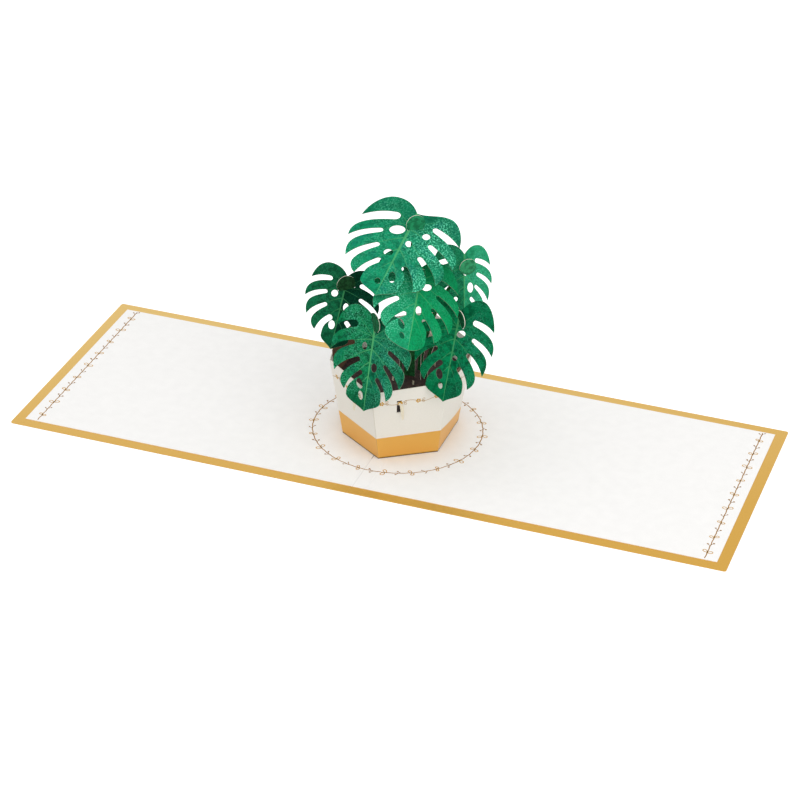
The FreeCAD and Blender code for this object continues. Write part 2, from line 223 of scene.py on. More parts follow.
cardValues = {
    "foilPaleReflection": (0.88, 0.60, 0.20), "foilDeepReflection": (0.78, 0.45, 0.08),
    "foilReflectionRange": (-0.12, 0.13), "foilReflectionSlant": 0.35,
    "foilCloudScale": 60.0, "foilCloud": 0.03,
    "foilMarkScale": 900.0, "foilMarks": 0.14, "relief": (0.00003, 0.25),
    "metallic": 0.9, "foilRoughness": 0.36,
    "paper": (0.90, 0.89, 0.875), "paperRoughness": 0.62,
    "creaseAt": -3.0, "creaseEdge": (0.10, 0.40), "creaseShade": 0.14,
    "creaseShadeByPot": 0.5, "creasePotReach": (33.5, 35.0),
    "creaseShadeColor": (0.20, 0.19, 0.17),
}


def foilMaterial():
    # gold foil on card with a painted reflection: pale gold at the back left, deepening towards the front
    # right, with faint rolling marks
    values = cardValues
    material, tree, shader = newMaterial("goldFoil")
    point = objectPoint(tree)
    x, y, z = split(tree, point)
    slant = minus(tree, times(tree, x, values["foilReflectionSlant"]), y)
    cloud = noise(tree, point, values["foilCloudScale"], 2.0)
    place = calc(tree, "ADD", slant, times(tree, cloud, values["foilCloud"]))
    # painted reflection: the share of deep gold grows towards the front right
    share = ramp(tree, place, *values["foilReflectionRange"])
    color = blend(tree, share, values["foilPaleReflection"], values["foilDeepReflection"])
    fine = noise(tree, point, values["foilMarkScale"], 3.0)
    marks = values["foilMarks"]
    roughness = calc(tree, "MULTIPLY_ADD", fine, marks, values["foilRoughness"] - marks / 2)
    dress(tree, shader, color, fine, values, roughness=roughness)
    return material


whitePaper = paperMaterial("whitePaper", cardValues["paper"], cardValues["paperRoughness"], 0.012)
creamCard = paperMaterial("creamCard", paperValues["cream"], 0.7, 0.03)
cutEdge = paperMaterial("cutEdge", paperValues["cutEdge"], 0.75, 0.03)
leafEdge = paperMaterial("leafEdge", paperValues["leafEdge"], 0.75, 0.05)


def setMaterial(node, material):
    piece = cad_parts[node]
    piece.data.materials.clear()
    piece.data.materials.append(material)


def creaseShadedPaper():
    # the white sheet with painted shade: a faint grey line along the card's fold, darker beside the pot
    values = cardValues
    material = whitePaper.copy()
    material.name = "creaseShadedPaper"
    tree = material.node_tree
    shader = tree.nodes["Principled BSDF"]
    x, y, z = split(tree, objectPoint(tree))
    off = calc(tree, "ABSOLUTE", minus(tree, x, values["creaseAt"] * millimetre))
    line = fallingRamp(tree, off, *inMetres(*values["creaseEdge"]))
    near = fallingRamp(tree, calc(tree, "ABSOLUTE", y), *inMetres(*values["creasePotReach"]))
    near = calc(tree, "MULTIPLY_ADD", near, values["creaseShadeByPot"], values["creaseShade"])
    paper = shader.inputs["Base Color"].links[0].from_socket
    # painted shade in the crease, deepest beside the pot
    mixed = blend(tree, times(tree, line, near), paper, values["creaseShadeColor"])
    tree.links.new(mixed, shader.inputs["Base Color"])
    return material


setMaterial("cover", foilMaterial())
setMaterial("liner", creaseShadedPaper())
for node in ("hook_strip_front", "hook_strip_back", "cross_rib_front", "cross_rib_back"):
    setMaterial(node, creamCard)
print("card materials set")


# Pot: white card with a gold band along its foot, cream at its cut rim, with painted shadow along its foot
# and painted shade along its corner fold

potValues = {
    "base": 0.75, "height": 43.0,
    "baseHalfWidth": 25.0, "baseHalfDepth": 33.0, "baseSideHalf": 16.0,
    "rimHalfWidth": 30.5, "rimHalfDepth": 45.0, "rimSideHalf": 20.8,
    "rimBulge": 2.4,
    "bandTop": 14.1,
    "dip": 5.2, "dipAt": 16.0, "dipReach": 32.0,
    "bandColor": (0.84, 0.47, 0.11), "bandEdge": 0.12,
    "bandMetallic": 0.88, "bandRoughness": 0.36, "cardRoughness": 0.58,
    "cardColor": (0.80, 0.77, 0.70), "cardDarker": 0.96,
    "rimColor": (0.84, 0.78, 0.64), "rimEdge": (0.06, 0.02),
    "foldShadeColor": (0.30, 0.26, 0.16), "foldShade": 0.3, "foldEdge": (0.06, 0.34),
    "footShadowColor": (0.16, 0.10, 0.04), "footShadowStrength": 0.95, "footShadowEdge": (0.3, 1.0),
    "fibreScale": 2200.0, "relief": (0.00004, 0.35), "specular": 0.3,
}


def potMaterial():
    # the band's upper edge dips evenly towards the rear corners of the side faces
    values = potValues
    material, tree, shader = newMaterial("potPrint")
    point = objectPoint(tree)
    x, y, z = split(tree, point)
    fine = noise(tree, point, values["fibreScale"], 4.0, 0.6)
    base, rim = inMetres(values["base"], values["base"] + values["height"])
    edge, soft, dipAt = inMetres(values["bandTop"], values["bandEdge"], values["dipAt"])
    reach, deep = inMetres(values["dipReach"], values["dip"])
    away = calc(tree, "ABSOLUTE", minus(tree, y, dipAt))
    dip = calc(tree, "MAXIMUM", calc(tree, "MULTIPLY_ADD", away, -1 / reach, 1.0), 0.0)
    above = ramp(tree, calc(tree, "MULTIPLY_ADD", dip, deep, z), edge, edge + soft)
    under, over = inMetres(*values["rimEdge"])
    onRim = ramp(tree, z, rim - under, rim - over)
    pale = values["cardColor"]
    card = blend(tree, ramp(tree, fine, 0.3, 0.7), scaled(pale, values["cardDarker"]), pale)
    color = blend(tree, above, values["bandColor"], card)
    color = blend(tree, onRim, color, values["rimColor"])
    # painted shade along the corner folds at x = 0, the front and the back corner
    fold = fallingRamp(tree, calc(tree, "ABSOLUTE", x), *inMetres(*values["foldEdge"]))
    color = blend(tree, times(tree, fold, values["foldShade"]), color, values["foldShadeColor"])
    # painted shadow: a dark line along the foot, where the pot meets the sheet
    low, high = inMetres(*values["footShadowEdge"])
    foot = fallingRamp(tree, z, base + low, base + high)
    color = blend(tree, times(tree, foot, values["footShadowStrength"]), color, values["footShadowColor"])
    metallic = times(tree, minus(tree, 1.0, above), values["bandMetallic"])
    rougher = values["cardRoughness"] - values["bandRoughness"]
    roughness = calc(tree, "MULTIPLY_ADD", above, rougher, values["bandRoughness"])
    dress(tree, shader, color, fine, values, roughness=roughness, metallic=metallic)
    return material


setMaterial("pot_wall", potMaterial())


# Soil: dark printed card with two sizes of mottling, brown on its raised tabs

soilValues = {
    "clodScale": 420.0, "clodRange": (0.40, 0.62),
    "dark": (0.034, 0.022, 0.020), "maroon": (0.072, 0.036, 0.032),
    "speckScale": 1700.0, "speckRange": (0.60, 0.72), "speckColor": (0.16, 0.11, 0.09),
    "raisedFrom": (30.5, 32.0), "raisedShare": 0.85, "raisedColor": (0.17, 0.085, 0.045),
    "roughness": 0.75, "specular": 0.25, "relief": (0.0001, 0.4),
}


def soilMaterial():
    values = soilValues
    material, tree, shader = newMaterial("soilPrint")
    point = objectPoint(tree)
    x, y, z = split(tree, point)
    clods = noise(tree, point, values["clodScale"], 5.0, 0.65)
    specks = noise(tree, point, values["speckScale"], 3.0, 0.7)
    color = blend(tree, ramp(tree, clods, *values["clodRange"]), values["dark"], values["maroon"])
    color = blend(tree, ramp(tree, specks, *values["speckRange"]), color, values["speckColor"])
    raised = times(tree, ramp(tree, z, *inMetres(*values["raisedFrom"])), values["raisedShare"])
    color = blend(tree, raised, color, values["raisedColor"])
    dress(tree, shader, color, clods, values)
    return material


setMaterial("soil_tray", soilMaterial())


def potCorners(z):
    # the six corners of the sleeve at height z, from the front corner round to the right
    share = (z - potValues["base"]) / potValues["height"]
    width, depth, side = (potValues["base" + key] + share * (potValues["rim" + key] - potValues["base" + key])
                          for key in ("HalfWidth", "HalfDepth", "SideHalf"))
    zero = np.zeros_like(z)
    xs = columns(zero, width, width, zero, -width, -width)
    ys = columns(-depth, -side, side, depth, side, -side)
    return xs, ys, potValues["rimBulge"] * share


def potSurface(face, along, z, lift):
    # a point on one outer face: straight between its two corners, plus the side faces'
    # bow as a parabola, plus lift outwards
    xs, ys, bulge = potCorners(z)
    index = np.arange(len(z))
    nextFace = (face + 1) % 6
    ax, ay, bx, by = xs[index, face], ys[index, face], xs[index, nextFace], ys[index, nextFace]
    px, py = ax + (bx - ax) * along, ay + (by - ay) * along
    nx, ny = by - ay, ax - bx
    size = np.hypot(nx, ny)
    bowed = bulge * 4 * along * (1 - along) if face in (1, 4) else 0.0
    px, py = px + nx / size * (lift + bowed), py + ny / size * (lift + bowed)
    return columns(px, py, z)


# Printed vines: a thin line with open leaf loops, buds and dots, in gold foil

vineValues = {
    "lineWidth": 0.48, "loopWidth": 0.42, "stalkWidth": 0.3,
    "loopLength": 2.5, "loopHalfWidth": 0.75, "loopSkew": 0.35,
    "loopTurns": (62, 56), "secondLoopAt": 0.7,
    "budRadius": 0.48, "budsOut": (1.5, 1.25), "secondBudAt": 1.1,
    "wave": 0.10, "waveRate": 1.3, "firstSprigAt": 0.35,
    "color": (0.42, 0.195, 0.02), "yellow": (0.66, 0.35, 0.035),
    "ringCentre": (-0.8, -2.1), "ringRadius": 42.6, "ringSprigs": 20,
    "borderAt": 171.2, "borderHalf": 60.35, "borderSprigs": 9,
    "linerTop": 0.75, "lift": 0.02,
    "fineScale": 1500.0, "metallic": 0.3, "roughness": 0.45, "specular": 0.1, "relief": (0.00002, 0.3),
}


def strip(points, width, closed=False):
    # a flat ribbon of one width along a row of points: quads between two offset rows
    points = np.asarray(points, float)
    if closed:
        before, after = np.roll(points, 1, 0), np.roll(points, -1, 0)
    else:
        before, after = np.vstack([points[:1], points[:-1]]), np.vstack([points[1:], points[-1:]])
    run = after - before
    side = columns(-run[:, 1], run[:, 0]) / np.linalg.norm(run, axis=1)[:, None] * width / 2
    return np.vstack([points - side, points + side]), quadRows(len(points), closed)


def disc(centre, radius, count=14):
    # a filled dot drawn as a ring of quads around a small inner ring
    angle = circleAngles(count)
    ring = columns(np.cos(angle), np.sin(angle)) * radius
    return np.vstack([centre + ring, centre + ring * 0.05]), quadRows(count)


def sprig(side, turn, size):
    # one leaf loop, drawn around the vine's line: s along, n across
    at = circleAngles(26)
    s = vineValues["loopLength"] * size * (1 - np.cos(at)) / 2
    n = vineValues["loopHalfWidth"] * size * np.sin(at) * (1 - vineValues["loopSkew"] * np.cos(at))
    return turned(s, n, side * radians(turn))


def vineShapes(length, sprigs, phase):
    # every flat shape of a vine of this length, as (points, quads, colour index) in (s, n):
    # the line is a low sine wave, and each sprig has two loops and two buds on bent stalks
    values = vineValues
    s = np.linspace(0, length, max(8, int(length / 0.9)))
    wave = values["wave"] * np.sin(s * values["waveRate"] + phase)
    shapes = [(*strip(columns(s, wave), values["lineWidth"]), 0)]
    pitch = length / sprigs
    for k in range(sprigs):
        start = (k + values["firstSprigAt"]) * pitch
        flip = 1 if k % 2 else -1
        size = 0.92 + 0.16 * sin(2.1 * k + phase)
        for side, turn, shift in zip((flip, -flip), values["loopTurns"], (0.0, values["secondLoopAt"])):
            loop = sprig(side, turn, size) + (start + shift, 0.1 * side)
            shapes.append((*strip(loop, values["loopWidth"], True), 1))
        for side, out, late in zip((-flip, flip), values["budsOut"], (0.0, values["secondBudAt"])):
            at = start + (0.5 * pitch + late)
            tip = np.array([at + 0.9, side * out])
            stalk = bezier([(at - 0.6, 0), (at, side * 0.2), tip - (0.5, 0), tip], 6)
            shapes.append((*strip(stalk, values["stalkWidth"]), 0))
            shapes.append((*disc(tip, values["budRadius"] * size), 0))
    return shapes


def joinShapes(shapes, place):
    # maps every shape's (s, n) to a point in space and joins them into one mesh
    points, quads, indices, base = [], [], [], 0
    for rows, faces, index in shapes:
        points.append(place(rows[:, 0], rows[:, 1]))
        quads.append(faces + base)
        indices += [index] * len(faces)
        base += len(rows)
    return np.vstack(points), np.vstack(quads), indices


def printMaterial(name, color):
    material, tree, shader = newMaterial(name)
    fine = noise(tree, objectPoint(tree), vineValues["fineScale"], 3.0)
    mixed = blend(tree, ramp(tree, fine, 0.35, 0.65), scaled(color, 0.85), color)
    dress(tree, shader, mixed, fine, vineValues)
    return material


vineBrown = printMaterial("vineBrown", vineValues["color"])
vineYellow = printMaterial("vineYellow", vineValues["yellow"])
printLevel = vineValues["linerTop"] + vineValues["lift"]


def ringPlace(s, n):
    # wraps the vine round a circle: angle is distance over radius
    angle = -s / vineValues["ringRadius"]
    radius = vineValues["ringRadius"] + n
    x, y = vineValues["ringCentre"]
    return columns(x + radius * np.cos(angle), y + radius * np.sin(angle), np.full_like(s, printLevel))


def borderPlace(side):
    # stands the vine upright beside the card's short edge
    def place(s, n):
        across = side * vineValues["borderAt"] - n
        return columns(across, s - vineValues["borderHalf"], np.full_like(s, printLevel))
    return place


ringLength = 2 * pi * vineValues["ringRadius"]
points, quads, indices = joinShapes(vineShapes(ringLength, vineValues["ringSprigs"], 0.0), ringPlace)
vines = [addMesh("vineRing", points, [quads], [vineBrown, vineYellow], indices)]
for name, side in (("vineLeft", -1), ("vineRight", 1)):
    shapes = vineShapes(2 * vineValues["borderHalf"], vineValues["borderSprigs"], side)
    points, quads, indices = joinShapes(shapes, borderPlace(side))
    vines.append(addMesh(name, points, [quads], [vineBrown, vineYellow], indices))

# The pot's own vine: a wavy line below the rim with small flowers

potVineValues = {
    "height": 35.6,
    "wave": 0.9, "waveRate": 0.42,
    "lineWidth": 0.28,
    "flowers": 4, "flowerSize": 1.15,
    "petals": 5, "petalReach": 0.75, "petalRadius": 0.42,
    "leafAt": 2.0, "leafTurn": 40, "leafSize": 0.62, "leafLine": 0.22,
    "color": (0.52, 0.33, 0.14),
    "ends": 0.4, "lift": 0.03,
}


def potVine(face):
    # a sine wave along one face, with flowers of round petals and two leaf loops beside each
    values = potVineValues
    xs, ys, bulge = potCorners(np.array([values["height"]]))
    nextFace = (face + 1) % 6
    length = hypot(xs[0, nextFace] - xs[0, face], ys[0, nextFace] - ys[0, face])
    s = np.linspace(values["ends"], length - values["ends"], 60)
    wave, rate, size = values["wave"], values["waveRate"], values["flowerSize"]
    shapes = [(*strip(columns(s, wave * np.sin(s * rate + face)), values["lineWidth"]), 0)]
    for k in range(values["flowers"]):
        at = (k + 0.5) * length / values["flowers"]
        up = wave * sin(at * rate + face)
        reach = size * values["petalReach"]
        for petal in range(values["petals"]):
            angle = petal * 2 * pi / values["petals"] + k
            centre = np.array([at + reach * cos(angle), up + reach * sin(angle)])
            shapes.append((*disc(centre, size * values["petalRadius"], 10), 1))
        for side in (-1, 1):
            loop = sprig(side, values["leafTurn"], values["leafSize"])
            loop = loop + (at + values["leafAt"], up + 0.1 * side)
            shapes.append((*strip(loop, values["leafLine"], True), 0))

    def place(s, n):
        return potSurface(face, np.clip(s / length, 0, 1), values["height"] + n, values["lift"])
    return joinShapes(shapes, place)


blush = printMaterial("blushPrint", potVineValues["color"])
for face in range(6):
    points, quads, indices = potVine(face)
    vines.append(addMesh("potVine_%d" % face, points, [quads], [blush, vineYellow], indices, sharpAngle=30.0))
for piece in vines:
    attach(piece, "root")
print("vines printed", len(vines))


# Leaves: one outline for all, folded along the midrib

leafOutline = {
    "notch": (-0.20, 0.0),
    "tips": [(-0.03, 0.54), (0.28, 0.57), (0.56, 0.49), (0.77, 0.315), (1.0, 0.0)],
    "shoulders": [(-0.19, 0.045), (-0.22, 0.09), (-0.13, 0.165)],
    "slotEnds": [(-0.105, 0.215), (0.118, 0.25), (0.314, 0.215), (0.51, 0.125)],
    "slotWidths": [0.075, 0.062, 0.062, 0.07],
    "endLobeAlong": 0.81,
    "tipShape": (0.925, 0.34),
    "thickness": 0.3,
    "grid": 1.0, "gridReach": (-0.4, 1.02, 0.62), "rowPitch": 0.87, "gridClearance": 0.35,
    "edgeCurl": (0.10, 0.25), "tipCurl": (0.05, 0.6),
}

leafPoses = {
    "left": {
        "at": (-33.0, 6.2, 69.3), "along": (0.07, -0.77, -0.63), "length": 32.6, "fold": (-26.0, 15.0),
        "crowns": ((0.34, 0.27, 0.09), (0.355, 0.27, 0.09)), "endLobe": (0.20, 0.23)},
    "top": {
        "at": (2.0, 1.4, 112.0), "along": (-0.03, -0.95, -0.31), "length": 47.5, "fold": (-3.0, 21.0),
        "crowns": ((0.367, 0.27, 0.09), (0.325, 0.34, 0.02)), "endLobe": (0.225, 0.18)},
    "upper_right": {
        "at": (27.4, 9.1, 92.0), "along": (0.17, -0.44, -0.88), "length": 29.4, "fold": (19.0, 34.0),
        "crowns": ((0.36, 0.27, 0.09), (0.355, 0.27, 0.08)), "endLobe": (0.25, 0.23)},
    "front_left": {
        "at": (-1.6, -38.5, 71.4), "along": (-0.04, -0.23, -0.97), "length": 37.6, "fold": (-2.0, -8.0),
        "crowns": ((0.37, 0.27, 0.09), (0.36, 0.27, 0.09)), "endLobe": (0.28, 0.235)},
    "front_right": {
        "at": (32.8, -15.8, 72.45), "along": (-0.03, -0.43, -0.90), "length": 36.8, "fold": (2.0, -9.0),
        "crowns": ((0.37, 0.27, 0.09), (0.40, 0.28, 0.09)), "endLobe": (0.285, 0.245)},
    "centre": {
        "at": (13.6, -17.6, 94.5), "along": (0.17, -0.87, -0.46), "length": 39.7, "fold": (-20.0, 31.0),
        "crowns": ((0.36, 0.27, 0.09), (0.36, 0.27, 0.09)), "endLobe": (0.315, 0.20),
        "tipShape": (0.975, 0.60)},
}

# Slots that differ from the common outline: the half (0 left, 1 right), the slot counted from
# the crown, its inner end and its width.
ownSlots = {
    "left": {(0, 3): ((0.48, 0.10), 0.09)},
    "top": {(0, 0): ((-0.12, 0.15), 0.11)},
    "front_left": {
        (0, 0): ((-0.13, 0.24), 0.095), (0, 2): ((0.315, 0.15), 0.065), (0, 3): ((0.475, 0.10), 0.062)},
    "front_right": {(0, 3): ((0.475, 0.12), 0.08)},
    "centre": {(0, 3): ((0.49, 0.10), 0.062)},
}

# Lobes that bulge more than the common outline, by half and lobe: the shoulder before the tip
ownShoulders = {"front_left": {(1, 0): (-0.31, 0.12), (1, 1): (-0.26, 0.14)}}

# Holes: place along and aside, length, width and turn in degrees
leafHoles = {
    "left": [
        (0.12, -0.135, 0.116, 0.10, -28), (0.622, -0.072, 0.143, 0.10, 0), (0.298, 0.083, 0.145, 0.085, 8)],
    "top": [
        (0.076, -0.114, 0.163, 0.125, -75), (0.405, -0.085, 0.10, 0.09, 75), (0.81, -0.048, 0.083, 0.06, 25),
        (0.703, 0.067, 0.14, 0.072, 15), (0.215, 0.063, 0.083, 0.068, 0), (0.031, 0.188, 0.09, 0.072, -30)],
    "upper_right": [(0.349, 0.124, 0.165, 0.125, 0)],
    "front_left": [
        (0.141, -0.108, 0.105, 0.071, 0), (0.391, 0.071, 0.119, 0.093, 0),
        (0.648, -0.108, 0.138, 0.086, 25), (0.799, -0.072, 0.119, 0.065, 15)],
    "front_right": [
        (0.084, 0.075, 0.13, 0.09, -70), (0.41, 0.052, 0.08, 0.07, -70),
        (0.653, -0.12, 0.14, 0.09, 25), (0.799, -0.076, 0.085, 0.06, 20)],
    "centre": [
        (0.416, 0.052, 0.127, 0.079, 0), (0.672, -0.133, 0.14, 0.075, 25),
        (0.827, -0.102, 0.092, 0.06, 25), (0.053, 0.108, 0.147, 0.085, -50)],
}

# Each stem: its foot in the soil, its width there, and its head: bearing of the head's plane in
# degrees from +X, radius, place on the leaf as shares along and aside, height off the leaf, colour.
stemKeys = ("foot", "width", "bearing", "radius", "on", "lift", "color")
stemRows = {
    "left": ((0.0, 8.5), 2.6, 38.0, 4.8, (-0.045, 0.0), 2.0, (0.020, 0.095, 0.032)),
    "top": ((3.4, 1.7), 5.5, 38.0, 4.8, (-0.02, 0.045), 1.6, (0.020, 0.290, 0.120)),
    "upper_right": ((6.5, 8.5), 2.6, 38.0, 4.2, (0.01, 0.05), 1.2, (0.040, 0.330, 0.140)),
    "front_left": ((-1.2, 1.5), 2.6, -42.0, 4.8, (-0.20, 0.0), 0.8, (0.012, 0.130, 0.050)),
    "front_right": ((11.5, 3.2), 2.6, -42.0, 4.6, (-0.10, 0.02), 0.2, (0.006, 0.120, 0.045)),
    "centre": ((9.5, 1.0), 2.6, 38.0, 2.4, (-0.10, 0.0), 0.4, (0.020, 0.220, 0.090)),
}
stemPoses = {name: dict(zip(stemKeys, row)) for name, row in stemRows.items()}

stemValues = {
    "thickness": 0.35, "neck": 1.7, "soilBase": 29.75, "foot": 5.0,
    "rise": 24.0, "arch": 14.0, "slitClearance": 0.15, "headOverlap": 0.5,
    "steps": 60, "headSteps": 56,
    "streakScale": 500.0, "roughness": 0.55, "specular": 0.05, "relief": (0.00005, 0.3),
    "green": (0.030, 0.180, 0.055),
}

# Each leaf's print: the base colour of its left and right half, which differ partly in print and partly by
# painted shade on the half turned from the light, how strongly light flecks (glitter drawn as painted
# glints), dark streaks and bluish patches show on each half, the painted shade at the crown and tip, and the
# veins.
printKeys = ("base", "flecks", "streaks", "blue", "crownShade", "tipShade", "veins")
printRows = {
    "left": (
        ((0.008, 0.165, 0.066), (0.001, 0.050, 0.022)), (0.1, 0.05), (0.8, 0.6), (0.1, 0.1), 0.25, 0.3, 0.45),
    "top": (
        ((0.006, 0.275, 0.125), (0.008, 0.250, 0.120)), (0.35, 1.0), (0.55, 0.6), (0.5, 0.8), 0.5, 0.0, 0.6),
    "upper_right": (
        ((0.010, 0.260, 0.110), (0.020, 0.330, 0.150)), (0.45, 0.55), (0.6, 0.5), (0.4, 0.3), 0.0, 0.0, 0.6),
    "front_left": (
        ((0.004, 0.195, 0.070), (0.005, 0.180, 0.080)), (0.45, 0.5), (0.9, 0.9), (0.3, 0.6), 0.0, 0.65, 0.75),
    "front_right": (
        ((0.002, 0.260, 0.095), (0.002, 0.195, 0.075)), (0.15, 0.20), (0.8, 0.9), (0.1, 0.2), 0.25, 0.5, 0.5),
    "centre": (
        ((0.010, 0.320, 0.135), (0.003, 0.300, 0.100)), (0.85, 0.15), (0.3, 0.3), (0.1, 0.2), 0.35, 0.0, 0.6),
}
leafPrints = {name: dict(zip(printKeys, row)) for name, row in printRows.items()}


def leafAxes(name):
    # along the midrib, level sideways towards +X, and the upper face's normal
    along = unit(leafPoses[name]["along"])
    aside = unit((-along[1], along[0], 0))
    aside = aside * copysign(1, aside[0])
    up = unit(np.cross(aside, along))
    return along, aside, up * copysign(1, up[2])


def halfDirection(name, side):
    along, aside, up = leafAxes(name)
    fold = radians(leafPoses[name]["fold"][0 if side < 0 else 1])
    return side * cos(fold) * aside - sin(fold) * up


def halfNormals(name):
    # the upper normals of the two halves, and the fold's own between them
    along, aside, up = leafAxes(name)
    normals = [np.cross(along, halfDirection(name, side)) * side for side in (-1, 1)]
    mean = unit(normals[0] + normals[1])
    sign = copysign(1, mean @ up)
    return [normal * sign for normal in normals], mean * sign


def headCentre(name):
    # the middle of the round head, just off the leaf's upper face
    along, aside, up = leafAxes(name)
    mean = halfNormals(name)[1]
    onAlong, onAside = stemPoses[name]["on"]
    centre = np.array(leafPoses[name]["at"]) + leafPoses[name]["length"] * (onAlong * along + onAside * aside)
    return centre + mean * stemPoses[name]["lift"]


def headLevel(name):
    # the level direction in the head's upright plane
    bearing = radians(stemPoses[name]["bearing"])
    return np.array([cos(bearing), sin(bearing), 0.0])


def stemPath(name):
    # four poles in one upright plane: foot, straight up, in below the leaf, the head's middle
    top, up = headCentre(name), halfNormals(name)[1]
    base = np.array([*stemPoses[name]["foot"], stemValues["soilBase"]])
    level = unit((top - base) * (1, 1, 0))
    inPlane = unit(level * (up @ level) + (0, 0, up[2]))
    return [base, base + (0, 0, stemValues["rise"]), top - inPlane * stemValues["arch"], top], level, inPlane


def flatOutline(name, side, samples):
    # one half of the leaf drawn flat in shares of its length: x along, y sideways; lobes and
    # slots are cubic curves whose handles are shares too, and each slot ends in a half circle
    values = leafOutline
    half = 0 if side < 0 else 1
    reach, aside, lift = leafPoses[name]["crowns"][half]
    notch, crown = np.array(values["notch"]), np.array([-reach, aside])
    tips = [np.array(t) for t in values["tips"]]
    parts = []

    def curve(*poles):
        parts.append(bezier(poles, samples))

    curve(notch, notch + (-lift, 0.15 - lift), crown + (0, -0.13), crown)
    curve(crown, crown + (0, 0.42 - aside), tips[0] + (-0.17, -0.02), tips[0])
    for k in range(4):
        common = (values["slotEnds"][k], values["slotWidths"][k])
        end, width = ownSlots.get(name, {}).get((half, k), common)
        outward = unit(tips[k] - end)
        backward = np.array([-abs(outward[1]), outward[0]])
        centre = end + outward * width / 2
        upper, lower = centre + backward * width / 2, centre - backward * width / 2
        run = np.linalg.norm(tips[k] - upper)
        curve(tips[k], tips[k] - outward * 0.35 * run + backward * 0.16 * run,
              upper + outward * 0.35 * run + backward * 0.05 * run, upper)
        turn = np.linspace(0, pi, 9)[:, None]
        parts.append(centre + width / 2 * (np.cos(turn) * backward - np.sin(turn) * outward))
        if k < 3:
            run = np.linalg.norm(tips[k + 1] - lower)
            shoulder = tips[k + 1] + ownShoulders.get(name, {}).get((half, k), values["shoulders"][k])
            curve(lower, lower + outward * run / 2, shoulder, tips[k + 1])
    widest = np.array([values["endLobeAlong"], leafPoses[name]["endLobe"][half]])
    tipAlong, tipAside = leafPoses[name].get("tipShape", values["tipShape"])
    curve(lower, lower + (0.10, 0.10), widest + (-0.13, 0), widest)
    curve(widest, widest + (0.09, 0.007), (tipAlong, tipAside * widest[1]), tips[4])
    midrib = np.linspace(1.0, notch[0], 60)[1:-1]
    parts.append(columns(midrib, 0 * midrib))
    return np.vstack([part[:-1] for part in parts[:-1]] + [tips[4][None], parts[-1]])


def insidePolygon(points, loop):
    # even-odd count of the loop's edges that cross a level ray from each point
    x, y = points[:, 0][:, None], points[:, 1][:, None]
    x0, y0 = loop[:, 0][None], loop[:, 1][None]
    x1, y1 = np.roll(x0, -1), np.roll(y0, -1)
    crosses = (y0 > y) != (y1 > y)
    rise = np.where(y1 == y0, 1e-12, y1 - y0)
    return np.sum(crosses & (x < x0 + (y - y0) * (x1 - x0) / rise), 1) % 2 == 1


def insideSheet(points, loops):
    # inside the first loop and outside all others
    return insidePolygon(points, loops[0]) & ~np.any([insidePolygon(points, loop) for loop in loops[1:]], 0)


def holeLoops(name, side):
    loops = []
    for along, aside, long, wide, turn in leafHoles[name]:
        if side * aside > 0:
            angle = circleAngles(28)
            oval = turned(long / 2 * np.cos(angle), wide / 2 * np.sin(angle), radians(side * turn))
            loops.append(oval + (along, side * aside))
    return loops


def slitLoops(name, side):
    # the slits that the head and the strip's end need in one half, each a thin rectangle along
    # the line where their upright sheet crosses the half, in flat shares of the leaf's length
    pose, room = leafPoses[name], stemValues["slitClearance"]
    along, aside = leafAxes(name)[0], halfDirection(name, side)
    face = np.cross(along, aside)
    centre = headCentre(name)
    level, inPlane = stemPath(name)[1:]
    off = (centre - pose["at"]) @ face
    loops = []
    for part, run in (("head", headLevel(name)), ("strip", level)):
        sheet = np.array([-run[1], run[0], 0.0])
        down = face - (face @ sheet) * sheet
        crossing = unit(np.cross(sheet, face))
        if part == "head":
            middle = centre - down * off / (down @ down)
            gap = off * off / (down @ down)
            reach = sqrt(max((stemPoses[name]["radius"] + room) ** 2 - gap, 0.01))
        else:
            middle = centre - inPlane * off / (inPlane @ face)
            reach = (stemValues["neck"] / 2 + room) / abs(crossing @ unit(np.cross(sheet, inPlane)))
        width = (stemValues["thickness"] / 2 + room) / sqrt(down @ down)
        start = np.array([(middle - pose["at"]) @ along, (middle - pose["at"]) @ aside]) / pose["length"]
        line = np.array([crossing @ along, crossing @ aside]) / pose["length"]
        beside = np.array([-line[1], line[0]]) * width
        steps = np.linspace(-reach, reach, 9)[:, None]
        loop = np.vstack([start + steps * line + beside, start - steps * line - beside])
        loops.append(clipAside(loop))
    return [loop for loop in loops if len(loop) > 2]


def clipAside(loop):
    # the part of a loop that lies in its own half, at or above zero aside
    kept = []
    for first, second in zip(loop, np.roll(loop, -1, 0)):
        if first[1] >= 0:
            kept.append(first)
        if (first[1] >= 0) != (second[1] >= 0):
            point = first + (second - first) * first[1] / (first[1] - second[1])
            kept.append(np.array([point[0], 0.0]))
    return np.array(kept)


